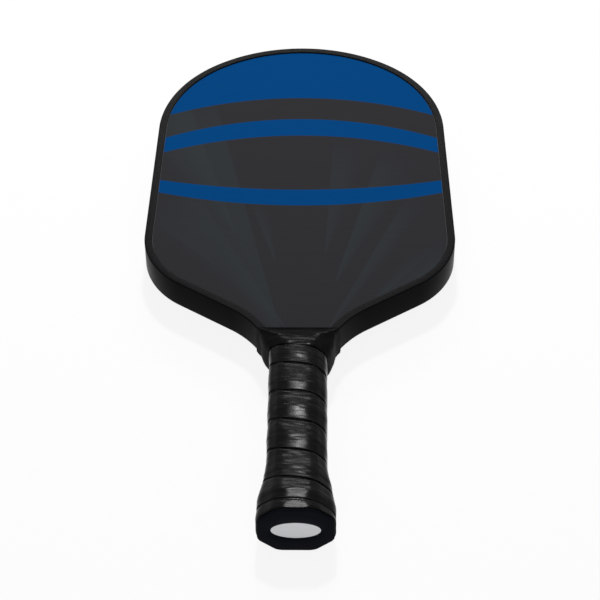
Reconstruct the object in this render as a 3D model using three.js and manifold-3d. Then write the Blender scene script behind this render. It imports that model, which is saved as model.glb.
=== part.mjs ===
// A pickleball paddle: a sandwich panel with a honeycomb core, a U-section edge guard, and a handle built up
// from two pallets on the panel's tongue, closed by a butt cap and wound with grip tape.
//
// Millimetres. Inside the paddle group, Y runs from the butt end (0) to the crown of the head, X runs across
// the paddle and Z out of the front face, with z = 0 at the middle of the panel. The exported group lays the
// paddle on its back, with the origin under the middle of its bounding box.

import * as THREE from "three";
import { mergeVertices } from "three/addons/utils/BufferGeometryUtils.js";
import Module from "manifold-3d";

const wasm = await Module();
wasm.setup();

// ---------------------------------------------------------------- driving dimensions

const overallLength = 416;
const headWidth = 190.5;

// Outline of the head, outside the edge guard
const crownRadius = 98.7;
const crownHalfAngle = THREE.MathUtils.degToRad(35.4); // from the centre line to the crown's corner arcs
const sideTaper = THREE.MathUtils.degToRad(1.25); // each side leans out towards the shoulders
const shoulderRadius = 51;
const shoulderAngle = THREE.MathUtils.degToRad(56.4); // between the side's normal and the shoulder's
const throatRadius = 58.6;
const throatFootHalfWidth = 14.7; // where the throat arc would run parallel to the handle
const throatFootHeight = 111.4;

// Panel
const coreThickness = 15.9;
const bondFilmThickness = 0.1;
const faceSheetThickness = 0.5;
const graphicLayerThickness = 0.1;
const layerGap = 0.02; // between two layers that are glued flat
const glueTrim = 0.5; // a film of glue stops this far short of the edge
const faceReveal = 0.25; // the printed layer stops this far short of the guard's lips and of the finishing tape
const cellPitch = 16; // from one honeycomb cell to the next
const cellWall = 0.8;
const cellBorder = 4; // solid rim between the outer cells and the panel's edge

// Edge guard
const guardWall = 1.6;
const guardLipWidth = 4.75; // from the outline to the lip's inner edge
const guardLipThickness = 0.74; // which makes the head 19 thick
const guardEdgeRounding = 1.1;
const guardClearance = 0.05; // guard to the panel's faces
const guardTapeThickness = 0.3;
const guardTapeWidth = 13;
const guardTuck = 5; // length of guard under the finishing tape
const palletGap = 0.3; // from the lips to the sides of the pallets, on a wide handle

// Handle, an octagon: half-width, half-height, and the half-lengths of its wide and narrow flats
const handleHalfWidth = 15.1;
const handleHalfHeight = 13.3;
const handleWideFlat = 9.1;
const palletBondThickness = 0.1;
const palletRampTop = 141; // height at which the pallets run out on the faces
const palletRampLength = 10;
const palletToe = 0.25; // thickness at the ramp's thin end

// Butt cap
const capFlareSide = 4.9; // how far the flare stands out from the handle at the sides
const capFlareFront = 2.8; // and at the front and back
const capFlangeProud = 0.9; // how far the flange stands out from the flare
const capFlangeDepth = 1.2;
const capBevel = 0.6;
const capWideFlat = 9.8;
const capNarrowFlat = 7.7;
const capFlareStart = 8; // the flare is at its widest up to here
const capFlareEnd = 44; // and has run out here
const capSkirtEnd = 33;
const capFloor = 3.6; // thickness of the closed end
const capFlareSteps = 8;
const handleFit = 0.05; // handle end in the cap's pocket
const badgeHalfWidth = 13.5;
const badgeHalfHeight = 6.25;
const badgeThickness = 0.9;
const badgeRecess = 0.15; // the badge's face lies this far inside the cap's end face
const badgeFit = 0.1;

// Staples through the cap's skirt into the pallets
const stapleHeight = 21; // from the butt end
const stapleSpread = 9; // between the two staples on one side
const stapleCrown = 6;
const stapleWire = 0.7;
const stapleSink = 0.2; // crown's outer face under the skirt's surface
const stapleTipCover = 1; // pallet left under the tips of the legs
const stapleFit = 0.15;

// Grip tape, wound from the butt cap towards the throat
const tapeThickness = 1.65;
const tapeWidth = 25;
const tapeLap = 3; // of each turn over the one before
const tapeEdgeHeight = 0.85; // underside of the lower edge, where it laps over the turn before
const tapeSkive = 0.9; // length over which the tape thins out at its upper edge
const tapeFirstTurn = -6; // height of the first turn's lower edge at the right-hand narrow flat
const tapeEnd = 135;
const tapeBaseGap = 0.15;
const tapeBridge = 2.8; // the stiff tape runs on this far past the ramp's top before it bends down
const tapeSteps = 6; // the helix is bent at this many places across the tape
const touchingGap = 0.3; // between two soft pieces that lie on each other

// Finishing tape, a few turns pulled tight over the end of the winding and the ends of the edge guard
const finishThickness = 0.6;
const finishFit = 0.2; // to what it goes over
const finishTop = 143.5;
const finishFrontEnd = 131.5; // lower edge on the front and back
const finishSideEnd = 121.5; // and at the sides
const finishArchHalfWidth = 16.2; // of the arched lower edge on the front and back
const finishArchRadius = 5;
const finishCorner = 1; // corner of its flat upper end, over the guard
const finishSteps = 11;

const arcSegments = 7; // ExtrudeGeometry makes twice as many facets on each arc
const badgeSegments = 16;
const bevelSegments = 2;
const weld = 1e-4; // corners of a geometry that lie this close are one corner
const cutMargin = 1; // a cutting shape runs on this far past what it cuts

// ---------------------------------------------------------------- sizes that follow

const coreTop = coreThickness / 2;
const bondFilmBase = coreTop + layerGap;
const faceSheetBase = bondFilmBase + bondFilmThickness + layerGap;
const faceSheetTop = faceSheetBase + faceSheetThickness;
const graphicLayerBase = faceSheetTop + layerGap;
const graphicLayerTop = graphicLayerBase + graphicLayerThickness;
const palletBondBase = faceSheetTop + layerGap;
const palletBase = palletBondBase + palletBondThickness + layerGap;
const guardSlotHalf = graphicLayerTop + guardClearance;
const guardHalfThickness = guardSlotHalf + guardLipThickness;
const panelInset = guardWall + guardTapeThickness + 2 * guardClearance;
const guardEnd = finishTop - guardTuck;
const handleEnd = capFloor + handleFit;
const tapePitch = tapeWidth - tapeLap;
const handleSection = {
  halfWidth: handleHalfWidth,
  halfHeight: handleHalfHeight,
  wideFlat: handleWideFlat,
  narrowFlat: palletBase,
};
const capFlareSection = {
  halfWidth: handleHalfWidth + capFlareSide,
  halfHeight: handleHalfHeight + capFlareFront,
  wideFlat: capWideFlat,
  narrowFlat: capNarrowFlat,
};
const capFlangeSection = {
  halfWidth: capFlareSection.halfWidth + capFlangeProud,
  halfHeight: capFlareSection.halfHeight + capFlangeProud,
  wideFlat: capWideFlat + capBevel / 2,
  narrowFlat: capNarrowFlat + capBevel / 2,
};

// ---------------------------------------------------------------- solids

// A closed geometry as a manifold-3d solid.
function solidOf(geometry) {
  const bare = geometry.clone();
  bare.deleteAttribute("normal");
  bare.deleteAttribute("uv");
  const merged = mergeVertices(bare, weld);
  return new wasm.Manifold(
    new wasm.Mesh({
      numProp: 3,
      vertProperties: new Float32Array(merged.attributes.position.array),
      triVerts: new Uint32Array(merged.index.array),
    }),
  );
}

function geometryOf(solid) {
  const mesh = solid.getMesh();
  const geometry = new THREE.BufferGeometry();
  geometry.setAttribute("position", new THREE.BufferAttribute(new Float32Array(mesh.vertProperties), 3));
  geometry.setIndex(new THREE.BufferAttribute(new Uint32Array(mesh.triVerts), 1));
  geometry.computeVertexNormals();
  return geometry;
}

function cut(geometry, ...tools) {
  return geometryOf(tools.reduce((solid, tool) => solid.subtract(solidOf(tool)), solidOf(geometry)));
}

function keepInside(geometry, tool) {
  return geometryOf(solidOf(geometry).intersect(solidOf(tool)));
}

// A shape in the XY plane, thickened from z = low to z = high.
function slab(shape, low, high, options = {}) {
  const bevel = options.bevel ?? 0;
  const geometry = new THREE.ExtrudeGeometry(shape, {
    depth: high - low - 2 * bevel,
    curveSegments: arcSegments,
    bevelEnabled: bevel > 0,
    bevelThickness: bevel,
    bevelSize: bevel,
    bevelOffset: -bevel,
    bevelSegments,
  });
  return geometry.translate(0, 0, low + bevel);
}

// The half-space above a height, as a box that is larger than the paddle.
function above(height) {
  const size = 2 * overallLength;
  return new THREE.BoxGeometry(size, size, size).translate(0, height + size / 2, 0);
}

function mirroredToBack(geometry) {
  return geometry.clone().rotateY(Math.PI);
}

// Rings of points, each joined to the next. The first and last are closed by flat fans, or joined together.
function loft(rings, { ring = false } = {}) {
  const count = rings[0].length;
  const positions = rings.flat().flatMap((p) => [p.x, p.y, p.z]);
  const index = [];
  const spans = ring ? rings.length : rings.length - 1;
  for (let i = 0; i < spans; i++) {
    const from = i * count;
    const to = ((i + 1) % rings.length) * count;
    for (let j = 0; j < count; j++) {
      const next = (j + 1) % count;
      index.push(from + j, to + j, to + next, from + j, to + next, from + next);
    }
  }
  if (!ring) {
    const last = (rings.length - 1) * count;
    for (let j = 1; j < count - 1; j++) {
      index.push(0, j, j + 1, last, last + j + 1, last + j);
    }
  }
  const geometry = new THREE.BufferGeometry();
  geometry.setAttribute("position", new THREE.Float32BufferAttribute(positions, 3));
  geometry.setIndex(index);
  geometry.computeVertexNormals();
  return geometry;
}

// ---------------------------------------------------------------- outline of the head

// Centres and radii of the arcs down one side. The side's length and the crown's corner radius are what make
// the outline close on the stated width, length and throat.
function headArcs() {
  const { sin, cos } = Math;
  const corner = Math.PI / 2 - crownHalfAngle;
  const shoulderX = headWidth / 2 - shoulderRadius;
  const throatX = throatFootHalfWidth + throatRadius;
  const shoulderLine =
    (shoulderX - throatX + (shoulderRadius + throatRadius) * cos(shoulderAngle)) / sin(shoulderAngle);
  const across =
    headWidth / 2 - crownRadius * cos(corner) - shoulderRadius * (1 - cos(sideTaper));
  const along =
    overallLength - throatFootHeight - crownRadius * (1 - sin(corner)) -
    shoulderRadius * (sin(sideTaper) + sin(shoulderAngle)) -
    shoulderLine * cos(shoulderAngle) - throatRadius * sin(shoulderAngle);
  const a = cos(sideTaper) - cos(corner);
  const b = sin(corner) - sin(sideTaper);
  const determinant = a * cos(sideTaper) - b * sin(sideTaper);
  const cornerRadius = (across * cos(sideTaper) - along * sin(sideTaper)) / determinant;
  const side = (a * along - b * across) / determinant;
  const cornerCentre = new THREE.Vector2(cos(corner), sin(corner)).multiplyScalar(crownRadius - cornerRadius);
  cornerCentre.y += overallLength - crownRadius;
  const shoulderY =
    cornerCentre.y + (cornerRadius - shoulderRadius) * sin(sideTaper) - side * cos(sideTaper);
  return {
    corner: { angle: corner, radius: cornerRadius, centre: cornerCentre },
    shoulder: { centre: new THREE.Vector2(shoulderX, shoulderY) },
    throat: { centre: new THREE.Vector2(throatX, throatFootHeight) },
  };
}

const arcs = headArcs();

// The head's outline, taken in by inset, on a tongue of that half-width which ends at that height.
function bladeShape(inset, tongueHalfWidth, tongueEnd) {
  const { PI } = Math;
  const { corner, shoulder, throat } = arcs;
  const throatOuter = throatRadius + inset;
  const cornerInner = corner.radius - inset;
  const shoulderInner = shoulderRadius - inset;
  const foot = Math.acos(Math.min(1, (throat.centre.x - tongueHalfWidth) / throatOuter));
  const shape = new THREE.Shape();
  shape.moveTo(-tongueHalfWidth, tongueEnd);
  shape.lineTo(tongueHalfWidth, tongueEnd);
  shape.absarc(throat.centre.x, throat.centre.y, throatOuter, PI - foot, PI - shoulderAngle, true);
  shape.absarc(shoulder.centre.x, shoulder.centre.y, shoulderInner, -shoulderAngle, sideTaper);
  shape.absarc(corner.centre.x, corner.centre.y, cornerInner, sideTaper, corner.angle);
  shape.absarc(0, overallLength - crownRadius, crownRadius - inset, corner.angle, PI - corner.angle);
  shape.absarc(-corner.centre.x, corner.centre.y, cornerInner, PI - corner.angle, PI - sideTaper);
  shape.absarc(-shoulder.centre.x, shoulder.centre.y, shoulderInner, PI - sideTaper, PI + shoulderAngle);
  shape.absarc(-throat.centre.x, throat.centre.y, throatOuter, shoulderAngle, foot, true);
  shape.closePath();
  return shape;
}

// ---------------------------------------------------------------- panel

function pointInside(point, outline) {
  let inside = false;
  outline.forEach((a, i) => {
    const b = outline[(i + 1) % outline.length];
    const crosses = a.y > point.y !== b.y > point.y;
    if (crosses && point.x < a.x + ((point.y - a.y) * (b.x - a.x)) / (b.y - a.y)) inside = !inside;
  });
  return inside;
}

function hexagon(x, y, acrossFlats) {
  const radius = acrossFlats / Math.sqrt(3);
  const corners = [0, 1, 2, 3, 4, 5].map((k) => (k * Math.PI) / 3);
  return corners.map((a) => new THREE.Vector2(x + radius * Math.cos(a), y + radius * Math.sin(a)));
}

// The core: a plate with a through cell wherever a whole hexagon fits inside its solid rim.
function honeycombCore() {
  const shape = bladeShape(panelInset, handleHalfWidth, handleEnd);
  const limit = bladeShape(panelInset + cellBorder, handleHalfWidth - cellBorder, handleEnd + cellBorder);
  const rim = limit.getPoints(arcSegments);
  const columnStep = (cellPitch * Math.sqrt(3)) / 2;
  const columns = Math.ceil(headWidth / 2 / columnStep);
  const rows = Math.ceil(overallLength / cellPitch);
  for (let column = -columns; column <= columns; column++) {
    const offset = column % 2 === 0 ? 0 : cellPitch / 2;
    for (let row = 0; row < rows; row++) {
      const cell = hexagon(column * columnStep, row * cellPitch + offset, cellPitch - cellWall);
      if (cell.every((corner) => pointInside(corner, rim))) shape.holes.push(new THREE.Path(cell));
    }
  }
  return slab(shape, -coreTop, coreTop);
}

function faceSheet() {
  return slab(bladeShape(panelInset, handleHalfWidth, handleEnd), faceSheetBase, faceSheetTop);
}

// The film of glue stops short of the sheet's edge.
function bondFilm() {
  const shape = bladeShape(panelInset + glueTrim, handleHalfWidth - glueTrim, handleEnd + glueTrim);
  return slab(shape, bondFilmBase, bondFilmBase + bondFilmThickness);
}

// The printed layer fills what shows of the face, between the guard's lips and above the finishing tape.
function graphicLayer() {
  const shape = bladeShape(guardLipWidth + faceReveal, handleHalfWidth, 0);
  return keepInside(slab(shape, graphicLayerBase, graphicLayerTop), above(finishTop + faceReveal));
}

// ---------------------------------------------------------------- edge guard

const guardReach = 2 * guardHalfThickness; // cuts through the guard run this far out of both faces

function edgeGuard() {
  const outside = slab(bladeShape(0, handleHalfWidth, 0), -guardHalfThickness, guardHalfThickness, {
    bevel: guardEdgeRounding,
  });
  const slot = slab(bladeShape(guardWall, handleHalfWidth, -cutMargin), -guardSlotHalf, guardSlotHalf);
  const opening = bladeShape(guardLipWidth, handleHalfWidth + palletGap, -cutMargin);
  const window = slab(opening, -guardReach, guardReach);
  return keepInside(cut(outside, slot, window), above(guardEnd));
}

// Double-sided tape between the guard's wall and the edge of the panel.
function guardTape() {
  const outer = guardWall + guardClearance;
  const inner = outer + guardTapeThickness;
  const half = guardTapeWidth / 2;
  const outside = slab(bladeShape(outer, handleHalfWidth + guardTapeThickness, 0), -half, half);
  const hole = bladeShape(inner, handleHalfWidth + guardClearance, -cutMargin);
  const inside = slab(hole, -guardReach, guardReach);
  return keepInside(cut(outside, inside), above(guardEnd));
}

// ---------------------------------------------------------------- handle

// The eight corners of a section, anticlockwise from the lower corner of the right-hand narrow flat.
function octagonRing(section, height, grow = 0) {
  const flatGrow = grow * Math.tan(Math.PI / 8);
  const w = section.halfWidth + grow;
  const h = section.halfHeight + grow;
  const wide = section.wideFlat + flatGrow;
  const narrow = section.narrowFlat + flatGrow;
  const corners = [
    [w, -narrow], [w, narrow], [wide, h], [-wide, h],
    [-w, narrow], [-w, -narrow], [-wide, -h], [wide, -h],
  ];
  return corners.map(([x, z]) => new THREE.Vector3(x, height, z));
}

function blendSections(a, b, share) {
  const mix = (key) => THREE.MathUtils.lerp(a[key], b[key], share);
  return {
    halfWidth: mix("halfWidth"),
    halfHeight: mix("halfHeight"),
    wideFlat: mix("wideFlat"),
    narrowFlat: mix("narrowFlat"),
  };
}

// Half-width of the neck at a height, with the head's outline taken in by inset.
function neckHalfWidth(height, inset) {
  const { centre } = arcs.throat;
  const radius = throatRadius + inset;
  const climb = THREE.MathUtils.clamp(height - centre.y, 0, radius * Math.sin(shoulderAngle));
  return centre.x - Math.sqrt(radius ** 2 - climb ** 2);
}

// What the grip tape is wound on: the cap's flare, then the handle, which widens into the neck while the
// pallets ramp down to the faces.
function windingSection(height) {
  const flare = THREE.MathUtils.smoothstep(capFlareEnd - height, 0, capFlareEnd - capFlareStart);
  const section = blendSections(handleSection, capFlareSection, flare);
  section.halfWidth = Math.max(section.halfWidth, neckHalfWidth(height, panelInset));
  const rampStart = palletRampTop - palletRampLength + tapeBridge;
  const down = THREE.MathUtils.clamp((height - rampStart) / palletRampLength, 0, 1);
  section.halfHeight -= down * (handleHalfHeight - palletBase - palletToe);
  const chamfer = (section.halfHeight - palletBase) / (handleHalfHeight - palletBase);
  if (down > 0) section.wideFlat = handleHalfWidth - chamfer * (handleHalfWidth - handleWideFlat);
  return section;
}

// The staples on the front, each with the middle of its crown at this depth and its tips in the pallet.
const stapleDepth = windingSection(stapleHeight).halfHeight - stapleSink - stapleWire / 2;
const stapleLeg = stapleDepth - palletBase - stapleTipCover;
const stapleColumns = [-stapleSpread / 2, stapleSpread / 2];

function stapleGeometry(fit) {
  const wire = stapleWire + 2 * fit;
  const crown = new THREE.BoxGeometry(stapleCrown + 2 * fit, wire, wire);
  const leg = new THREE.BoxGeometry(wire, wire, stapleLeg + fit);
  const reach = (stapleCrown - stapleWire) / 2;
  const drop = -(stapleLeg + fit) / 2;
  const left = leg.clone().translate(-reach, 0, drop);
  const right = leg.clone().translate(reach, 0, drop);
  return geometryOf(solidOf(crown).add(solidOf(left)).add(solidOf(right)));
}

function stapleOpenings() {
  const front = stapleColumns.map((x) => stapleGeometry(stapleFit).translate(x, stapleHeight, stapleDepth));
  const mouths = stapleColumns.map((x) =>
    new THREE.BoxGeometry(stapleCrown + 2 * stapleFit, stapleWire + 2 * stapleFit, 2 * cutMargin).translate(
      x, stapleHeight, stapleDepth + cutMargin,
    ),
  );
  const openings = [...front, ...mouths];
  return [...openings, ...openings.map(mirroredToBack)];
}

// One pallet: the octagon's cap above the panel, ramped down to the face at the throat.
function handlePallet() {
  const shape = new THREE.Shape([
    new THREE.Vector2(handleHalfWidth, palletBase),
    new THREE.Vector2(handleWideFlat, handleHalfHeight),
    new THREE.Vector2(-handleWideFlat, handleHalfHeight),
    new THREE.Vector2(-handleHalfWidth, palletBase),
  ]);
  const length = palletRampTop - handleEnd;
  const blank = new THREE.ExtrudeGeometry(shape, { depth: length, bevelEnabled: false });
  blank.rotateX(Math.PI / 2).translate(0, palletRampTop, 0);
  const wedge = new THREE.Shape([
    new THREE.Vector2(palletRampTop - palletRampLength, handleHalfHeight),
    new THREE.Vector2(palletRampTop, palletBase + palletToe),
    new THREE.Vector2(palletRampTop + cutMargin, palletBase + palletToe),
    new THREE.Vector2(palletRampTop + cutMargin, handleHalfHeight + cutMargin),
    new THREE.Vector2(palletRampTop - palletRampLength, handleHalfHeight + cutMargin),
  ]);
  const ramp = new THREE.ExtrudeGeometry(wedge, { depth: 4 * handleHalfWidth, bevelEnabled: false });
  // The wedge is drawn in (height, depth out of the face): turn it so that it runs across the handle.
  ramp.applyMatrix4(new THREE.Matrix4().makeBasis(
    new THREE.Vector3(0, 1, 0), new THREE.Vector3(0, 0, 1), new THREE.Vector3(1, 0, 0),
  )).translate(-2 * handleHalfWidth, 0, 0);
  return cut(blank, ramp, ...stapleOpenings());
}

function palletBond() {
  const side = handleHalfWidth - glueTrim;
  const low = handleEnd + glueTrim;
  const high = palletRampTop - glueTrim;
  const shape = new THREE.Shape([
    new THREE.Vector2(-side, low),
    new THREE.Vector2(side, low),
    new THREE.Vector2(side, high),
    new THREE.Vector2(-side, high),
  ]);
  return slab(shape, palletBondBase, palletBondBase + palletBondThickness);
}

// ---------------------------------------------------------------- butt cap

function ellipsePrism(halfWidth, halfHeight, depth) {
  const shape = new THREE.Shape();
  shape.absellipse(0, 0, halfWidth, halfHeight, 0, 2 * Math.PI);
  const prism = new THREE.ExtrudeGeometry(shape, { depth, curveSegments: badgeSegments, bevelEnabled: false });
  return prism.rotateX(Math.PI / 2).translate(0, depth, 0);
}

function buttCap() {
  const face = {
    halfWidth: capFlangeSection.halfWidth - capBevel,
    halfHeight: capFlangeSection.halfHeight - capBevel,
    wideFlat: capWideFlat,
    narrowFlat: capNarrowFlat,
  };
  const rings = [
    octagonRing(face, 0),
    octagonRing(capFlangeSection, capBevel),
    octagonRing(capFlangeSection, capFlangeDepth),
    octagonRing(windingSection(capFlangeDepth), capFlangeDepth),
  ];
  for (let i = 0; i <= capFlareSteps; i++) {
    const height = THREE.MathUtils.lerp(capFlareStart, capSkirtEnd, i / capFlareSteps);
    rings.push(octagonRing(windingSection(height), height));
  }
  rings.push(octagonRing(handleSection, capSkirtEnd, handleFit));
  rings.push(octagonRing(handleSection, capFloor, handleFit));
  const recessDepth = badgeRecess + badgeThickness + badgeFit;
  const recess = ellipsePrism(badgeHalfWidth + badgeFit, badgeHalfHeight + badgeFit, recessDepth + cutMargin);
  recess.translate(0, -cutMargin, 0);
  return cut(loft(rings), recess, ...stapleOpenings());
}

function capBadge() {
  return ellipsePrism(badgeHalfWidth, badgeHalfHeight, badgeThickness).translate(0, badgeRecess, 0);
}

// ---------------------------------------------------------------- grip tape

// The tape's section: [distance up from its lower edge, height over the surface it is wound on]. Its lower edge
// laps over the turn before, and its upper edge is skived thin to go under the next.
function tapeSection() {
  const lapEnd = tapeLap + touchingGap + layerGap;
  const baseStart = lapEnd + tapeSkive;
  const skiveEnd = tapePitch - touchingGap;
  const thinEdge = tapeEdgeHeight - touchingGap;
  const steps = Array.from({ length: tapeSteps - 1 }, (_, k) => ((k + 1) * tapeWidth) / tapeSteps);
  const underside = steps.filter((up) => up > baseStart + tapeSkive);
  const topside = steps.filter((up) => up < skiveEnd - 2 * tapeSkive).reverse();
  return [
    [0, tapeEdgeHeight],
    [lapEnd, tapeEdgeHeight],
    [baseStart, tapeBaseGap],
    ...underside.map((up) => [up, tapeBaseGap]),
    [tapeWidth, tapeBaseGap],
    [tapeWidth, thinEdge],
    [skiveEnd, thinEdge],
    [skiveEnd - tapeSkive, tapeThickness],
    ...topside.map((up) => [up, tapeThickness]),
    [0, tapeThickness],
  ];
}

// A point on the wound tape. eighth counts eighths of a turn, anticlockwise seen from the butt end.
function tapePoint(eighth, up, over) {
  const height = tapeFirstTurn + (tapePitch * eighth) / 8 + up;
  const ring = octagonRing(windingSection(height), height, over);
  const corner = Math.floor(eighth);
  const at = (k) => ring[((k % 8) + 8) % 8];
  return at(corner).clone().lerp(at(corner + 1), eighth - corner);
}

function gripTape() {
  const tapeStart = capFlangeDepth + touchingGap;
  const eighthAt = (height) => ((height - tapeFirstTurn) * 8) / tapePitch;
  const first = Math.floor(eighthAt(tapeStart - tapeWidth)) - 1;
  const last = Math.ceil(eighthAt(tapeEnd)) + 1;
  const section = tapeSection();
  const rings = [];
  for (let half = 2 * first; half <= 2 * last; half++) {
    rings.push(section.map(([up, over]) => tapePoint(half / 2, up, over)));
  }
  const size = 8 * capFlangeSection.halfWidth;
  const length = tapeEnd - tapeStart;
  const span = new THREE.BoxGeometry(size, length, size).translate(0, tapeStart + length / 2, 0);
  return keepInside(loft(rings), span);
}

// ---------------------------------------------------------------- finishing tape

// Outside of the finishing tape. At the sides it runs straight from the winding to the guard's ends, and on the
// front and back straight from the end of the winding down to the guard's lips.
function finishSection(height) {
  const { lerp, smoothstep, clamp } = THREE.MathUtils;
  const overGuard = finishFit + finishThickness;
  const overWinding = tapeThickness + overGuard;
  const flatGrow = overWinding * Math.tan(Math.PI / 8);
  const winding = windingSection(height);
  const foot = windingSection(finishSideEnd).halfWidth + overWinding;
  const neck = neckHalfWidth(Math.max(height, guardEnd), 0) + overGuard;
  const bridged = lerp(foot, neck, clamp((height - finishSideEnd) / (guardEnd - finishSideEnd), 0, 1));
  const shoulder = windingSection(tapeEnd).halfHeight + overWinding;
  const neckHalfHeight = guardHalfThickness + overGuard;
  const sloped = lerp(shoulder, neckHalfHeight, clamp((height - tapeEnd) / (finishTop - tapeEnd), 0, 1));
  const halfWidth = Math.max(bridged, winding.halfWidth + overWinding);
  const flatness = smoothstep(height, finishFrontEnd, finishTop);
  return {
    halfWidth,
    halfHeight: height < tapeEnd ? winding.halfHeight + overWinding : sloped,
    wideFlat: lerp(winding.wideFlat + flatGrow, halfWidth - finishCorner, flatness),
    narrowFlat: lerp(winding.narrowFlat + flatGrow, neckHalfHeight - finishCorner / 2, flatness),
  };
}

function finishingTape() {
  const heights = Array.from({ length: finishSteps + 1 }, (_, i) =>
    THREE.MathUtils.lerp(finishSideEnd, finishTop, i / finishSteps),
  );
  const wall = (grow) => heights.map((height) => octagonRing(finishSection(height), height, grow));
  const sleeve = loft([...wall(0), ...wall(-finishThickness).reverse()], { ring: true });
  const reach = finishArchHalfWidth - finishArchRadius;
  const arch = new THREE.Shape();
  arch.moveTo(-finishArchHalfWidth, 0);
  arch.lineTo(finishArchHalfWidth, 0);
  arch.absarc(reach, finishFrontEnd - finishArchRadius, finishArchRadius, 0, Math.PI / 2);
  arch.absarc(-reach, finishFrontEnd - finishArchRadius, finishArchRadius, Math.PI / 2, Math.PI);
  arch.closePath();
  return cut(sleeve, slab(arch, -2 * handleHalfHeight, 2 * handleHalfHeight));
}

// ---------------------------------------------------------------- materials

function finish(colour, roughness, metalness = 0) {
  return new THREE.MeshStandardMaterial({ color: colour, roughness, metalness });
}

const materials = {
  honeycomb: finish(0xd9dde0, 0.6),
  glue: finish(0xd8cfa8, 0.5),
  laminate: finish(0x2c2d30, 0.55),
  graphic: finish(0x1f4f86, 0.5),
  guard: finish(0x141416, 0.45),
  foam: finish(0xc9b48a, 0.8),
  cap: finish(0x101113, 0.5),
  badge: finish(0xb9babd, 0.35),
  wire: finish(0xa8abb0, 0.35, 1),
  grip: finish(0x17181a, 0.4),
  vinyl: finish(0x131315, 0.3),
};

// ---------------------------------------------------------------- assembly

const paddle = new THREE.Group();
paddle.position.set(0, -overallLength / 2, capFlareSection.halfHeight + tapeThickness);

function add(name, geometry, material) {
  const mesh = new THREE.Mesh(geometry, material);
  mesh.name = name;
  paddle.add(mesh);
}

// A piece on the front, and its twin turned round the handle's axis onto the back.
function addPair(name, geometry, material) {
  add("front_" + name, geometry, material);
  add("back_" + name, mirroredToBack(geometry), material);
}

add("honeycomb_core", honeycombCore(), materials.honeycomb);
addPair("bond_film", bondFilm(), materials.glue);
addPair("face_sheet", faceSheet(), materials.laminate);
addPair("graphic_layer", graphicLayer(), materials.graphic);
add("edge_guard", edgeGuard(), materials.guard);
add("edge_guard_tape", guardTape(), materials.glue);
addPair("handle_pallet", handlePallet(), materials.foam);
addPair("pallet_bond", palletBond(), materials.glue);
add("butt_cap", buttCap(), materials.cap);
add("butt_cap_badge", capBadge(), materials.badge);
stapleColumns.forEach((x, i) => {
  const staple = stapleGeometry(0).translate(x, stapleHeight, stapleDepth);
  addPair("staple_" + (i + 1), staple, materials.wire);
});
add("grip_tape", gripTape(), materials.grip);
add("finishing_tape", finishingTape(), materials.vinyl);

const part = new THREE.Group();
part.add(paddle);

export default part;
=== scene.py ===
import math
import random

import bmesh
import bpy
import numpy as np
from bpy.props import FloatProperty, FloatVectorProperty, IntProperty, PointerProperty
from mathutils import Matrix, Vector


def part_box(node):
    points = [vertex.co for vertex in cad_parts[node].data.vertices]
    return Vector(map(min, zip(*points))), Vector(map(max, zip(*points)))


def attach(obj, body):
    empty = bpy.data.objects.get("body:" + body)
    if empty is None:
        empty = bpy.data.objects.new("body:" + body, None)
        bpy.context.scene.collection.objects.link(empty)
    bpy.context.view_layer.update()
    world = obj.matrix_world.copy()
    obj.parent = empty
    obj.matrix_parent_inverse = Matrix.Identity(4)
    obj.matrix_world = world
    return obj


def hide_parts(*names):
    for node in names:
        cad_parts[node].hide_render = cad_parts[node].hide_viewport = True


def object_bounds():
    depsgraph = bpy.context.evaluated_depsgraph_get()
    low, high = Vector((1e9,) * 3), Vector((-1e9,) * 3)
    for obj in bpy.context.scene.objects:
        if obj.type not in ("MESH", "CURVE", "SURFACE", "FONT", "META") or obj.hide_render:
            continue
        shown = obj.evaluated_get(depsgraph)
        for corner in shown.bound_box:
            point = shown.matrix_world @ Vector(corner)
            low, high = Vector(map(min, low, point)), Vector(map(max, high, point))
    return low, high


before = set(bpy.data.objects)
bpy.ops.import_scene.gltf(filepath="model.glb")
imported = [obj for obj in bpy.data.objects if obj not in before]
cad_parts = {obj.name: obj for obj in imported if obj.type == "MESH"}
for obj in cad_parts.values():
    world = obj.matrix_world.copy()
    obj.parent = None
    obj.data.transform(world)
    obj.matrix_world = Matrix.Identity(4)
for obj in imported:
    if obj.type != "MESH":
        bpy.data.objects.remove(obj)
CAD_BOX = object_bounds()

bl_info = {
    "name": "Pickleball paddle",
    "version": (1, 0, 0),
    "blender": (4, 5, 0),
    "location": "View3D > Sidebar > Paddle",
    "description": "Dresses a packed pickleball paddle with its visible pieces and finishes",
    "category": "Add Mesh",
}

# Shapes are worked out in millimetres on the paddle's own axes: x across it, y from the butt end to the
# crown of the head, z out of the front face with 0 at the middle of the panel.
MM = 0.001
BUTT_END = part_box("butt_cap")[0].y
MID_PANEL = (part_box("honeycomb_core")[0].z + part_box("honeycomb_core")[1].z) / 2
ORIGIN = np.array([0, BUTT_END, MID_PANEL])


# ------------------------------ settings

def shade(red, green, blue):
    """A screen colour, 0 to 255, as the linear colour that shaders use."""
    levels = [c / 255 for c in (red, green, blue)]
    return tuple(c / 12.92 if c <= 0.04045 else ((c + 0.055) / 1.055) ** 2.4 for c in levels)


def length(name, description, millimetres):
    return FloatProperty(
        name=name, description=description, default=millimetres * MM, min=0, unit="LENGTH")


def power(name, description, watts):
    return FloatProperty(name=name, description=description, default=watts, min=0, unit="POWER")


def colour(name, description, red, green, blue):
    return FloatVectorProperty(
        name=name, description=description, default=shade(red, green, blue), size=3,
        min=0, max=1, subtype="COLOR")


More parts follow.
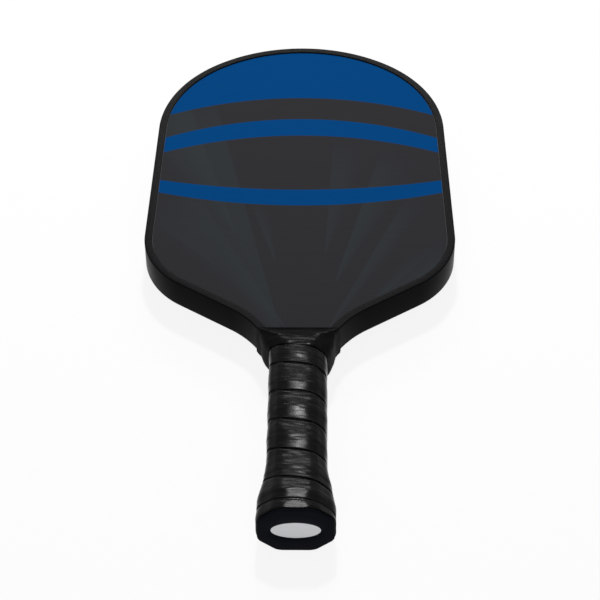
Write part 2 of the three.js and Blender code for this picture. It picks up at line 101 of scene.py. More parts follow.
class PaddleSizes(bpy.types.PropertyGroup):
    lip_width: length("Lip width", "Edge guard's outline to its lip's inner edge", 4.75)
    guard_wall: length("Guard wall", "Thickness of the edge guard's wall", 1.6)
    guard_rounding: length("Guard rounding", "Rounding of the edge guard's outer corners", 1.5)
    tape_thickness: length("Tape thickness", "Height of the grip tape's lower edge", 1.65)
    tape_lap: length("Tape lap", "Width of grip tape under the next turn", 3)
    wrinkle_depth: length("Wrinkle depth", "Depth of the creases in the grip tape", 0.15)
    band_thickness: length("Band thickness", "Thickness of the finishing tape", 0.6)
    seed: IntProperty(name="Seed", description="Picks the wrinkles", default=4, min=0)


class PaddleColours(bpy.types.PropertyGroup):
    graphite: colour("Graphite", "Ground colour of the faces", 46, 46, 49)
    slate: colour("Slate", "Faint blades across the faces", 51, 58, 61)
    blue: colour("Blue", "Printed colour of the faces", 0, 64, 121)
    guard: colour("Edge guard", "Moulding round the head", 9, 9, 11)
    grip: colour("Grip tape", "Wound tape", 5, 5, 6)
    band: colour("Finishing tape", "Tape at the neck", 5, 5, 6)
    cap: colour("Butt cap", "Moulding at the butt end", 10, 12, 18)
    badge: colour("Badge", "Plate on the butt cap", 236, 237, 240)


class PaddleStage(bpy.types.PropertyGroup):
    key_power: power("Key lamp", "Compact lamp over the head", 11)
    fill_power: power("Fill lamp", "Wide lamp in front of the butt end", 6.5)
    rim_power: power("Rim lamp", "Narrow lamp beyond the head", 9)
    room_light: FloatProperty(
        name="Room light", description="Even light from all round", default=0.2, min=0)


# ------------------------------ node trees

class Value:
    """A number, colour or shape that a node gives. Arithmetic on numbers adds Math nodes."""

    def __init__(self, nodes, socket):
        self.nodes, self.socket = nodes, socket

    def __add__(self, other):
        return self.nodes.maths("ADD", self, other)

    __radd__ = __add__

    def __sub__(self, other):
        return self.nodes.maths("SUBTRACT", self, other)

    def __rsub__(self, other):
        return self.nodes.maths("SUBTRACT", other, self)

    def __mul__(self, other):
        return self.nodes.maths("MULTIPLY", self, other)

    __rmul__ = __mul__

    def __truediv__(self, other):
        return self.nodes.maths("DIVIDE", self, other)

    def __rtruediv__(self, other):
        return self.nodes.maths("DIVIDE", other, self)

    def __pow__(self, other):
        return self.nodes.maths("POWER", self, other)

    def __rpow__(self, other):
        return self.nodes.maths("POWER", other, self)

    def __neg__(self):
        return self * -1


class Nodes:
    """A node tree, emptied. Shader nodes go by their type's name without the ShaderNode in front."""

    def __init__(self, tree):
        self.tree = tree
        tree.nodes.clear()

    def node(self, kind, settings=None, inputs=None, output=0):
        """Makes a node, sets it up, then feeds its inputs. Gives one of its outputs, or none.
        The setting "items" is how many values an index switch chooses from."""
        full = kind if kind.startswith(("GeometryNode", "NodeGroup")) else "ShaderNode" + kind
        made = self.tree.nodes.new(full)
        for key, value in (settings or {}).items():
            if key == "items":
                while len(made.index_switch_items) < value:
                    made.index_switch_items.new()
            else:
                setattr(made, key, value)
        for key, value in (inputs or {}).items():
            if isinstance(value, Value):
                self.tree.links.new(value.socket, made.inputs[key])
            else:
                made.inputs[key].default_value = value
        return None if output is None else Value(self, made.outputs[output])

    def maths(self, operation, *values):
        return self.node("Math", {"operation": operation}, dict(enumerate(values)))


# A Mix node has its own sockets for each kind of data. These are the ones for colours.
MIX_SHARE, MIX_LOW, MIX_HIGH, MIXED = 0, 6, 7, 2


class Shader(Nodes):
    """A procedural material. Its patterns are laid out in millimetres on the piece. Constants are
    the surface's own sockets, with _ for a space."""

    def __init__(self, name, colour, roughness, **constants):
        self.material = bpy.data.materials.new(name)
        self.material.use_nodes = True
        super().__init__(self.material.node_tree)
        self.surface = {"Base Color": (*colour, 1), "Roughness": roughness}
        self.surface.update({key.replace("_", " "): value for key, value in constants.items()})
        at = self.node("TexCoord", output="Object")
        self.at = self.node("VectorMath", {"operation": "SCALE"}, {0: at, "Scale": 1 / MM})

    def feed(self, name, value):
        self.surface[name] = value

    def finished(self):
        surface = self.node("BsdfPrincipled", None, self.surface)
        self.node("OutputMaterial", None, {0: surface}, None)
        return self.material

    def axis(self, name):
        return self.node("SeparateXYZ", None, {0: self.at}, name)

    def stretched(self, x=1, y=1, z=1, vector=None):
        """The place on the piece, with each axis drawn out that many times."""
        scale = (1 / x, 1 / y, 1 / z)
        return self.node("VectorMath", {"operation": "MULTIPLY"}, {0: vector or self.at, 1: scale})

    def noise(self, size, detail=2, vector=None, roughness=0.5):
        """Even noise around 0.5, with features of about that size in millimetres."""
        inputs = {"Vector": vector or self.at, "Scale": 1 / size, "Detail": detail,
                  "Roughness": roughness}
        return self.node("TexNoise", None, inputs, "Fac")

    def rise(self, value, low, high):
        """0 where the value is under low, 1 where it is over high, and a soft step between."""
        inputs = {0: value, 1: low, 2: high, 3: 0, 4: 1}
        return self.node("MapRange", {"interpolation_type": "SMOOTHSTEP"}, inputs)

    def mix(self, share, low, high, blend="MIX"):
        low, high = ((*c, 1) if isinstance(c, tuple) else c for c in (low, high))
        inputs = {MIX_SHARE: share, MIX_LOW: low, MIX_HIGH: high}
        return self.node("Mix", {"data_type": "RGBA", "blend_type": blend}, inputs, MIXED)

    def bump(self, height, millimetres, under=None):
        """Relief of that depth where height goes from 0 to 1."""
        inputs = {"Height": height, "Distance": millimetres * MM, "Strength": 1}
        if under:
            inputs["Normal"] = under
        return self.node("Bump", None, inputs)


def tinted(colour, factor):
    """The same colour, darker or lighter."""
    return tuple(min(1, c * factor) for c in colour)


# ------------------------------ meshes

MERGE_DISTANCE = 1e-7


def smoothstep(value, low=0.0, high=1.0):
    """0 up to low, 1 from high, and a soft step between."""
    share = np.clip((value - low) / (high - low), 0, 1)
    return share * share * (3 - 2 * share)


def lerp(a, b, share):
    """From a, at a share of 0, to b, at 1."""
    return a + (b - a) * share


class Wrinkles:
    """Smooth seeded noise in two directions, between -1 and 1."""

    SIZE = 64
    SHIFT = (17.3, 5.1)  # between one layer and the next, so that they don't line up

    def __init__(self, seed):
        self.table = np.random.default_rng(seed).uniform(-1, 1, (self.SIZE, self.SIZE))

    def __call__(self, u, v):
        i, j = np.floor(u).astype(int), np.floor(v).astype(int)
        a, b = smoothstep(u - i), smoothstep(v - j)
        at = lambda p, q: self.table[p % self.SIZE, q % self.SIZE]
        low = lerp(at(i, j), at(i + 1, j), a)
        high = lerp(at(i, j + 1), at(i + 1, j + 1), a)
        return lerp(low, high, b)

    def layered(self, u, v, octaves=3):
        """Each layer is half as large and half as strong as the one before."""
        total = sum(self(u * 2 ** k + self.SHIFT[0] * k, v * 2 ** k + self.SHIFT[1] * k) / 2 ** k
                    for k in range(octaves))
        return total / sum(1 / 2 ** k for k in range(octaves))


def finished_piece(name, mesh, material, node, sharp):
    """Puts a mesh in the scene in place of a CAD node. Edges over sharp degrees stay crisp."""
    mesh.materials.clear()
    mesh.materials.append(material)
    mesh.polygons.foreach_set("use_smooth", [True] * len(mesh.polygons))
    mesh.set_sharp_from_angle(angle=math.radians(sharp))
    piece = bpy.data.objects.new(name, mesh)
    bpy.context.scene.collection.objects.link(piece)
    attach(piece, "root")
    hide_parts(node)


def rings_mesh(name, rings, ring_of_rings=False):
    """Joins rings of points, an array of (rings, points, 3) in millimetres, into a closed surface:
    with both ends capped, or with the last ring joined to the first."""
    rows, count, _ = rings.shape
    points = rings.reshape(-1, 3) * MM + ORIGIN
    i, j = np.meshgrid(np.arange(rows if ring_of_rings else rows - 1), np.arange(count), indexing="ij")
    above, beside = (i + 1) % rows, (j + 1) % count
    faces = np.stack([i * count + j, i * count + beside, above * count + beside, above * count + j], -1)
    faces = faces.reshape(-1, 4).tolist()
    if not ring_of_rings:
        faces.append(list(range(count))[::-1])
        faces.append([(rows - 1) * count + k for k in range(count)])
    mesh = bpy.data.meshes.new(name)
    mesh.from_pydata(points.tolist(), [], faces)
    faced_out(mesh)
    return mesh


def faced_out(mesh):
    """Merges doubled points and turns every face outwards."""
    made = bmesh.new()
    made.from_mesh(mesh)
    bmesh.ops.remove_doubles(made, verts=made.verts, dist=MERGE_DISTANCE)
    bmesh.ops.recalc_face_normals(made, faces=made.faces)
    made.to_mesh(mesh)
    made.free()
    mesh.update()


# ------------------------------ outline of the head

CROWN_TOP = (CAD_BOX[1].y - BUTT_END) / MM
HEAD_WIDTH = 190.5
CROWN_RADIUS = 98.7
CROWN_HALF_ANGLE = math.radians(35.4)
SIDE_TAPER = math.radians(1.25)
SHOULDER_RADIUS = 51
SHOULDER_ANGLE = math.radians(56.4)
THROAT_RADIUS = 58.6
THROAT_X, THROAT_Y = 73.3, 111.4
GUARD_END = 138.5
ARC_STEP = math.radians(2)
SMALLEST_STEP = 0.01


def head_arcs():
    """(centre x, centre y, radius) of the right-hand corner and shoulder arcs, which close the
    outline."""
    sin, cos = math.sin, math.cos
    corner = math.pi / 2 - CROWN_HALF_ANGLE
    half = HEAD_WIDTH / 2
    shoulder_x = half - SHOULDER_RADIUS
    line = ((shoulder_x - THROAT_X + (SHOULDER_RADIUS + THROAT_RADIUS) * cos(SHOULDER_ANGLE))
            / sin(SHOULDER_ANGLE))
    across = half - CROWN_RADIUS * cos(corner) - SHOULDER_RADIUS * (1 - cos(SIDE_TAPER))
    along = (CROWN_TOP - THROAT_Y - CROWN_RADIUS * (1 - sin(corner))
             - SHOULDER_RADIUS * (sin(SIDE_TAPER) + sin(SHOULDER_ANGLE))
             - line * cos(SHOULDER_ANGLE) - THROAT_RADIUS * sin(SHOULDER_ANGLE))
    a = cos(SIDE_TAPER) - cos(corner)
    b = sin(corner) - sin(SIDE_TAPER)
    determinant = a * cos(SIDE_TAPER) - b * sin(SIDE_TAPER)
    radius = (across * cos(SIDE_TAPER) - along * sin(SIDE_TAPER)) / determinant
    side = (a * along - b * across) / determinant
    reach = CROWN_RADIUS - radius
    corner_y = CROWN_TOP - CROWN_RADIUS + reach * sin(corner)
    shoulder_y = corner_y + (radius - SHOULDER_RADIUS) * sin(SIDE_TAPER) - side * cos(SIDE_TAPER)
    return (reach * cos(corner), corner_y, radius), (shoulder_x, shoulder_y, SHOULDER_RADIUS)


def outline():
    """The outside of the edge guard, from its right-hand end round the crown to its left-hand end."""
    corner = math.pi / 2 - CROWN_HALF_ANGLE
    (cx, cy, cr), (sx, sy, sr) = head_arcs()
    foot = math.asin((GUARD_END - THROAT_Y) / THROAT_RADIUS)
    arcs = [
        (THROAT_X, THROAT_Y, THROAT_RADIUS, math.pi - foot, math.pi - SHOULDER_ANGLE),
        (sx, sy, sr, -SHOULDER_ANGLE, SIDE_TAPER),
        (cx, cy, cr, SIDE_TAPER, corner),
        (0, CROWN_TOP - CROWN_RADIUS, CROWN_RADIUS, corner, math.pi / 2),
    ]
    right = []
    for x, y, radius, start, end in arcs:
        count = max(2, math.ceil(abs(end - start) / ARC_STEP))
        angles = np.linspace(start, end, count + 1)
        right += [(x + radius * math.cos(a), y + radius * math.sin(a)) for a in angles]
    right = [p for k, p in enumerate(right) if k == 0 or math.dist(p, right[k - 1]) > SMALLEST_STEP]
    return right + [(-x, y) for x, y in reversed(right[:-1])]


# ------------------------------ handle sections

HANDLE = (15.1, 13.3, 9.1, 8.73)  # half-width, half-height, and half-lengths of the wide and narrow flats
FLARE = (20.0, 16.1, 9.8, 7.7)  # the same at the cap's flare
FLARE_START, FLARE_END = 8, 44
PANEL_INSET = 2.0
PALLET_BASE, PALLET_TOE = 8.73, 0.25
RAMP_START, RAMP_LENGTH = 133.8, 10
TAPE_TOP = 135
GUARD_HALF, SLOT_HALF = 9.5, 8.76  # half the edge guard's thickness, and half its slot's
CORNER_SAMPLES = 9


def neck_half_width(height, inset):
    """Half the neck's width at each height, that far inside the outline."""
    radius = THROAT_RADIUS + inset
    climb = np.clip(height - THROAT_Y, 0, radius * math.sin(SHOULDER_ANGLE))
    return THROAT_X - np.sqrt(radius ** 2 - climb ** 2)


def winding_section(height):
    """What the grip tape is wound on at each height: the cap's flare, the handle and the neck."""
    flare = smoothstep(FLARE_END - height, 0, FLARE_END - FLARE_START)
    width, depth, wide, narrow = (lerp(h, f, flare) for h, f in zip(HANDLE, FLARE))
    width = np.maximum(width, neck_half_width(height, PANEL_INSET))
    down = np.clip((height - RAMP_START) / RAMP_LENGTH, 0, 1)
    depth = depth - down * (HANDLE[1] - PALLET_BASE - PALLET_TOE)
    chamfer = (depth - PALLET_BASE) / (HANDLE[1] - PALLET_BASE)
    wide = np.where(down > 0, HANDLE[0] - chamfer * (HANDLE[0] - HANDLE[2]), wide)
    return width, depth, wide, narrow


def octagon(section, eighth, grow, soften):
    """x and z on an octagon, grown outwards, at a number of eighths of a turn from the lower corner
    of its right-hand flat. The corners are rounded off over soften of an eighth."""
    flat_grow = grow * math.tan(math.pi / 8)
    w, h = section[0] + grow, section[1] + grow
    wide, narrow = section[2] + flat_grow, section[3] + flat_grow
    xs = np.stack(np.broadcast_arrays(w, w, wide, -wide, -w, -w, -wide, wide))
    zs = np.stack(np.broadcast_arrays(-narrow, narrow, h, h, narrow, -narrow, -h, -h))
    xs, zs, eighth = (np.array(a, float) for a in np.broadcast_arrays(xs, zs, eighth))
    x, z = 0, 0
    for shift in np.linspace(-soften, soften, CORNER_SAMPLES):
        place = eighth[0] + shift
        corner = np.floor(place).astype(int)
        share = place - corner
        pick = lambda a, k: np.take_along_axis(a, (k % 8)[None], 0)[0]
        x = x + lerp(pick(xs, corner), pick(xs, corner + 1), share) / CORNER_SAMPLES
        z = z + lerp(pick(zs, corner), pick(zs, corner + 1), share) / CORNER_SAMPLES
    return x, z


# ------------------------------ finishes

def grained_plastic(name, colour, roughness, grain=0.35, depth=0.008, specular=0.02):
    """Moulded plastic: a fine pebbled skin, slightly uneven in sheen."""
    s = Shader(name, colour, roughness, Specular_IOR_Level=specular)
    clouds = s.noise(14, 3)
    s.feed("Base Color", s.mix(clouds, tinted(colour, 0.8), tinted(colour, 1.25)))
    s.feed("Roughness", roughness - 0.08 + 0.16 * s.noise(5, 4))
    s.feed("Normal", s.bump(s.noise(grain, 2), depth))
    return s.finished()


GRIP_GRAIN = 0.55


def cushioned_grip(colour):
    """Soft polyurethane tape: fine leather grain over broad puckers, shinier where it is stretched."""
    s = Shader("Cushioned grip tape", colour, 0.3, Specular_IOR_Level=0.056)
    along = s.node("UVMap", {"uv_map": "along_tape"})
    along = s.node("VectorMath", {"operation": "SCALE"}, {0: along, "Scale": 1 / MM})
    streaks = s.noise(1, 4, s.stretched(9, 1.1, vector=along), 0.6)
    clouds = s.noise(6, 3)
    grain = s.node("TexVoronoi", {"feature": "SMOOTH_F1"},
                   {"Vector": s.at, "Scale": 1 / GRIP_GRAIN}, "Distance")
    s.feed("Base Color", s.mix(clouds, tinted(colour, 0.7), tinted(colour, 1.35)))
    across = s.node("SeparateXYZ", None, {0: along}, "Y")
    rim = 1 - s.rise(across, 0.3, 1)  # duller at the tape's lower edge
    s.feed("Roughness", 0.1 + 0.14 * clouds + 0.12 * streaks + 0.3 * rim)
    s.feed("Normal", s.bump(grain, 0.012, s.bump(streaks, 0.05)))
    return s.finished()


def glossy_tape(colour):
    """Stretched vinyl: a thin gloss over matt black, with fine creases."""
    s = Shader("Glossy finishing tape", colour, 0.5, Specular_IOR_Level=0.003, Coat_Roughness=0.2)
    creases = s.noise(1, 3, s.stretched(9, 1.6, 4))
    s.feed("Base Color", s.mix(s.noise(9, 3), tinted(colour, 0.75), tinted(colour, 1.3)))
    s.feed("Roughness", 0.45 + 0.2 * s.noise(4, 3))
    s.feed("Coat Weight", 0.045 + 0.08 * creases)
    s.feed("Normal", s.bump(creases, 0.05))
    return s.finished()


# Arcs on the faces, each by its height on the centre line and its radius.
CROWN_ARC = (361.4, 217)  # lower edge of the blue crown
UPPER_BAND = ((339, 210), (322, 235))  # upper and lower edge
LOWER_BAND = ((268, 430), (253, 330))  # and of the band that curves the other way
PRINT_BLUR = 0.18

BLADES_PER_SIDE, BLADE_SEED = 7, 11
BLADE_FOOT, BLADE_SWING = 120, (0.12, 1.05)  # they fan out from this height, between these angles
BLADE_HAZE = 0.6


def blades(s, x, y):
    """Share of faint straight blades that fan out over a face, each with one crisp and one soft edge."""
    draw = random.Random(BLADE_SEED)
    bare = 1
    for k in range(2 * BLADES_PER_SIDE):
        step = (k // 2 + draw.uniform(0.1, 0.9)) / BLADES_PER_SIDE
        lean = (-1) ** k * (BLADE_SWING[0] + (BLADE_SWING[1] - BLADE_SWING[0]) * step)
        sin, cos = math.sin(lean), math.cos(lean)
        foot = BLADE_FOOT + draw.uniform(-20, 20)
        start, end = draw.uniform(10, 90), draw.uniform(130, 300)
        width, side = draw.uniform(0.07, 0.2), draw.choice((-1, 1))
        along = x * sin + (y - foot) * cos - start
        spread = (x * cos - (y - foot) * sin) * side / along
        shape = s.rise(spread, -width, width * 0.7) * (1 - s.rise(spread, width - 0.015, width))
        shape = shape * s.rise(along, 0, 8) * (1 - s.rise(along, end - start - 60, end - start))
        bare = bare * (1 - shape * draw.uniform(0.45, 0.9))
    return 1 - bare


def printed_face(colours):
    """Graphite ground with faint slate blades, a blue crown and two plain blue bands, on fine cross
    fibres."""
    s = Shader("Printed face", colours.graphite, 0.6, Specular_IOR_Level=0.006)
    x = s.axis("X")
    y = s.axis("Y") - BUTT_END / MM

    def over(height, radius, bend=1):
        """How far a point lies above an arc that is highest, or lowest, on the centre line."""
        centre = y - (height - bend * radius)
        reach = (x * x + centre * centre) ** 0.5
        return reach - radius if bend > 0 else radius - reach

    def crisp(distance):
        return s.rise(distance, -PRINT_BLUR, PRINT_BLUR)

    def band(upper, lower, bend):
        return crisp(over(*lower, bend)) * (1 - crisp(over(*upper, bend)))

    blue_share = crisp(over(*CROWN_ARC)) + band(*UPPER_BAND, 1) + band(*LOWER_BAND, -1)
    ground = s.mix(blades(s, x, y) * BLADE_HAZE, tuple(colours.graphite), tuple(colours.slate))
    fibre = s.noise(1, 3, s.stretched(14, 0.55, 1), 0.7)
    twill = s.node("TexWave", {"wave_type": "BANDS", "bands_direction": "DIAGONAL"},
                   {"Vector": s.at, "Scale": 0.11, "Distortion": 0.6}, "Fac")
    printed = s.mix(blue_share, ground, tuple(colours.blue))
    lit = s.mix((fibre - 0.5) * 0.55 + 0.5, (0.72, 0.72, 0.72), (1.28, 1.28, 1.28))
    s.feed("Base Color", s.mix(1, printed, lit, "MULTIPLY"))
    s.feed("Roughness", 0.5 + 0.12 * fibre)
    s.feed("Normal", s.bump(fibre * 0.8 + twill * 0.2, 0.02))
    return s.finished()


def mottled(name, colour, roughness, size, depth):
    """A plain material with its own grain, for a piece inside the paddle."""
    s = Shader(name, colour, roughness)
    spots = s.noise(size, 4)
    s.feed("Base Color", s.mix(spots, tinted(colour, 0.82), tinted(colour, 1.15)))
    s.feed("Roughness", roughness - 0.06 + 0.12 * s.noise(size * 3, 2))
    s.feed("Normal", s.bump(spots, depth))
    return s.finished()


TOW_WIDTH = 2.0


def laminate(colour):
    """Bare carbon laminate: crossed tows under satin resin."""
    s = Shader("Carbon laminate", colour, 0.5, Specular_IOR_Level=0.2)
    tows = s.node("TexChecker", None, {"Vector": s.at, "Scale": 1 / TOW_WIDTH}, "Fac")
    threads = s.noise(1, 3, s.stretched(8, 0.4, 1))
    s.feed("Base Color", s.mix(tows * 0.5 + threads * 0.5, tinted(colour, 0.8), tinted(colour, 1.3)))
    s.feed("Roughness", 0.45 + 0.1 * threads)
    s.feed("Normal", s.bump(threads, 0.015))
    return s.finished()


def drawn_wire(colour):
    """Zinc-coated wire with fine marks along it."""
    s = Shader("Galvanised wire", colour, 0.35, Metallic=1.0)
    streaks = s.noise(0.3, 3, s.stretched(6, 1, 1))
    s.feed("Roughness", 0.28 + 0.2 * streaks)
    s.feed("Normal", s.bump(streaks, 0.01))
    return s.finished()


def badge_plate(colour):
    """Pale painted plate with a faint brushed grain."""
    s = Shader("Badge plate", colour, 0.4, Specular_IOR_Level=0.4)
    brushed = s.noise(1, 3, s.stretched(12, 1, 0.25))
    s.feed("Base Color", s.mix(brushed, tinted(colour, 0.88), tinted(colour, 1.06)))
    s.feed("Roughness", 0.34 + 0.14 * brushed)
    s.feed("Normal", s.bump(brushed, 0.01))
    return s.finished()


# ------------------------------ edge guard

# Shares of the rounding at the corners of the U section: lip, lip, outside, outside, lip, lip, slot
# and slot.
CORNER_ROUNDING = (0.04, 0.16, 1, 0.5, 0.16, 0.04, 0.15, 0.15)
ROUNDING_STEPS = 6


def guard_tree():
    """Sweeps a U section, rounded outside, along the outline."""
    tree = bpy.data.node_groups.new("Edge guard", "GeometryNodeTree")
    face = tree.interface
    face.new_socket("Outline", in_out="INPUT", socket_type="NodeSocketGeometry")
    for name in ("Lip width", "Wall", "Slot half", "Half thickness", "Rounding"):
        face.new_socket(name, in_out="INPUT", socket_type="NodeSocketFloat")
    face.new_socket("Material", in_out="INPUT", socket_type="NodeSocketMaterial")
    face.new_socket("Guard", in_out="OUTPUT", socket_type="NodeSocketGeometry")
    nodes = Nodes(tree)

    def given(name):
        return nodes.node("NodeGroupInput", output=name)

    lip, wall, slot = -given("Lip width"), -given("Wall"), given("Slot half")
    half, rounding = given("Half thickness"), given("Rounding")
    corners = [(lip, slot), (lip, half), (0, half), (0, -half), (lip, -half), (lip, -slot), (wall, -slot),
               (wall, slot)]
    rounds = [rounding * share for share in CORNER_ROUNDING]
    index = nodes.node("GeometryNodeInputIndex")

    def by_corner(kind, values):
        inputs = {"Index": index, **{str(k): value for k, value in enumerate(values)}}
        return nodes.node("GeometryNodeIndexSwitch", {"data_type": kind, "items": len(values)}, inputs)

    places = by_corner("VECTOR", [nodes.node("CombineXYZ", None, {0: a, 1: b}) for a, b in corners])
    circle = nodes.node("GeometryNodeCurvePrimitiveCircle", None, {"Resolution": len(corners)})
    placed = nodes.node("GeometryNodeSetPosition", None, {0: circle, "Position": places})
    profile = nodes.node("GeometryNodeFilletCurve", {"mode": "POLY"}, {
        0: placed, "Count": ROUNDING_STEPS, "Limit Radius": True, "Radius": by_corner("FLOAT", rounds)})
    path = nodes.node("GeometryNodeSetCurveNormal", {"mode": "Z_UP"}, {0: given("Outline")})
    swept = nodes.node("GeometryNodeCurveToMesh", None, {
        "Curve": path, "Profile Curve": profile, "Fill Caps": True})
    real = nodes.node("GeometryNodeRealizeInstances", None, {0: swept})
    painted = nodes.node("GeometryNodeSetMaterial", None, {0: real, "Material": given("Material")})
    nodes.node("NodeGroupOutput", None, {0: painted}, None)
    return tree


class PADDLE_OT_edge_guard(bpy.types.Operator):
    """Sweep the edge guard round the head"""
    bl_idname = "paddle.edge_guard"
    bl_label = "Edge guard"

    def execute(self, context):
        sizes = context.scene.paddle_sizes
        material = grained_plastic("Edge guard plastic", context.scene.paddle_colours.guard, 0.34)
        path = bpy.data.curves.new("guard_path", "CURVE")
        path.dimensions = "3D"
        spline = path.splines.new("POLY")
        points = outline()
        spline.points.add(len(points) - 1)
        for point, (x, y) in zip(spline.points, points):
            point.co = (*(np.array([x, y, 0]) * MM + ORIGIN), 1)
        sweeper = bpy.data.objects.new("guard_path", path)
        context.scene.collection.objects.link(sweeper)
        modifier = sweeper.modifiers.new("Sweep", "NODES")
        tree = guard_tree()
        modifier.node_group = tree
        values = {
            "Lip width": sizes.lip_width, "Wall": sizes.guard_wall, "Slot half": SLOT_HALF * MM,
            "Half thickness": GUARD_HALF * MM, "Rounding": sizes.guard_rounding, "Material": material,
        }
        for item in tree.interface.items_tree:
            if item.in_out == "INPUT" and item.name in values:
                modifier[item.identifier] = values[item.name]
        evaluated = sweeper.evaluated_get(context.evaluated_depsgraph_get())
        mesh = bpy.data.meshes.new_from_object(evaluated)
        sweeper.modifiers.remove(modifier)
        bpy.data.objects.remove(sweeper)
        if len(mesh.vertices) == 0:
            raise RuntimeError("the edge guard came out empty")
        faced_out(mesh)
        finished_piece("edge_guard_moulding", mesh, material, "edge_guard", sharp=30)
        return {"FINISHED"}


# ------------------------------ faces and inner pieces

CORE_COLOUR = shade(217, 221, 224)
GLUE_COLOUR = shade(216, 207, 168)
FOAM_COLOUR = shade(201, 180, 138)
WIRE_COLOUR = shade(168, 171, 176)
CARBON_COLOUR = shade(44, 45, 48)


def paint(node, material):
    """Gives a CAD node its material."""
    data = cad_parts[node].data
    data.materials.clear()
    data.materials.append(material)


class PADDLE_OT_faces(bpy.types.Operator):
    """Print both faces"""
    bl_idname = "paddle.faces"
    bl_label = "Printed faces"

    def execute(self, context):
        material = printed_face(context.scene.paddle_colours)
        for side in ("front", "back"):
            paint(side + "_graphic_layer", material)
        return {"FINISHED"}


class PADDLE_OT_inner_pieces(bpy.types.Operator):
    """Give every piece inside the paddle its own material"""
    bl_idname = "paddle.inner_pieces"
    bl_label = "Inner pieces"

    def execute(self, context):
        glue = mottled("Set glue", GLUE_COLOUR, 0.5, 5, 0.02)
        foam = mottled("Pallet foam", FOAM_COLOUR, 0.8, 0.6, 0.08)
        wire = drawn_wire(WIRE_COLOUR)
        sheet = laminate(CARBON_COLOUR)
        paint("honeycomb_core", mottled("Honeycomb polymer", CORE_COLOUR, 0.6, 3, 0.05))
        paint("edge_guard_tape", glue)
        for side in ("front", "back"):
            paint(side + "_face_sheet", sheet)
            paint(side + "_bond_film", glue)
            paint(side + "_pallet_bond", glue)
            paint(side + "_handle_pallet", foam)
            paint(side + "_staple_1", wire)
            paint(side + "_staple_2", wire)
        return {"FINISHED"}


# ------------------------------ grip tape

ROWS_PER_TURN = 128
FIRST_TURN, LAST_TURN = -2.6, 5.2  # from turn 0 up, the turns lie at their full pitch
TURN_LENGTH = 110  # tape used by a turn, near enough for its wrinkles
TAPE_START = 1.5
NARROWEST = 0.6  # where the butt or the neck leaves less of the tape than this, it ends
FIRST_SEAM, FULL_PITCH = 24, 21.7  # height of the lower edge at turn 0, and the pitch from there up
FLARE_SEAM, FLARE_PITCH = 8, 10.3  # the same at turn -1, and from there down
FLARE_EASING = 5.7  # bends the edge from one pitch to the other
FRONT_CENTRE = 2.5  # in eighths of a turn from the octagon's first corner
# A flat is bowed: how much higher its middle is than its corners, and the share that stands out.
FLAT_BOW, BOW_CROWN = 0.55, 0.7
GRIP_SOFTEN = 0.26
GRIP_LIMIT = (CAD_BOX[1].z - MID_PANEL) / MM

# Across the tape: its lower edge is rounded off, it swells, thins out, and dips at the next seam.
EDGE_SPACING = [0, 0.04, 0.12, 0.25, 0.42, 0.62, 0.9]
SEAM_SPACING = [1.1, 0.85, 0.6, 0.35, 0.05, -0.25]  # below the next seam
MIDDLE_MARGIN, MIDDLE_COLUMNS = 1.4, 34
UNDER_SPACING = [1, 0.8, 0.5, 0.25, 0.17, 0.14, 0]  # shares of the width, back along the underside
EDGE_WIDTH, EDGE_DROP = 0.5, 0.4
FOOT_SHARE, SWELL, THINNING = 0.84, 0.24, 0.2  # shares of the thickness
FLARE_STRETCH = 0.08
DIP_START, DIP_END = 2.0, 0.6  # below the next seam
DIP_HEIGHT, LAP_HEIGHT = 0.78, 0.72
UNDER_HEIGHT, UNDER_FOOT = 0.65, 0.15  # above the turn below, and on the handle
UNDER_STEP = (3.3, 4.2)  # across the tape, from the one to the other
NECK_SQUEEZE = 0.6  # the finishing tape presses the last turn flat
CREASE_SIZE, PUCKER_SIZE = (9, 2.1), (6, 4.5)  # along and across the tape
WRINKLE_SHARE = 0.9
WANDER, WANDER_LENGTH = 0.3, 13


def tape_edge(turn):
    """Height of the tape's lower edge. The first turns lie closer together on the cap's flare."""
    steady = FIRST_SEAM + FULL_PITCH * turn
    easing = steady + FLARE_EASING * turn ** 2
    close = FLARE_SEAM + FLARE_PITCH * (turn + 1)
    return np.where(turn >= 0, steady, np.where(turn >= -1, easing, close))


def tape_spacing(lap):
    """Shares of the tape's width at which it has points: close at its lower edge and at the next seam."""
    middle = list(np.linspace(MIDDLE_MARGIN, FULL_PITCH - MIDDLE_MARGIN, MIDDLE_COLUMNS))
    seam = [FULL_PITCH - d for d in SEAM_SPACING] + [FULL_PITCH + lap * 0.5, FULL_PITCH + lap]
    return np.array(EDGE_SPACING + middle + seam) / (FULL_PITCH + lap)


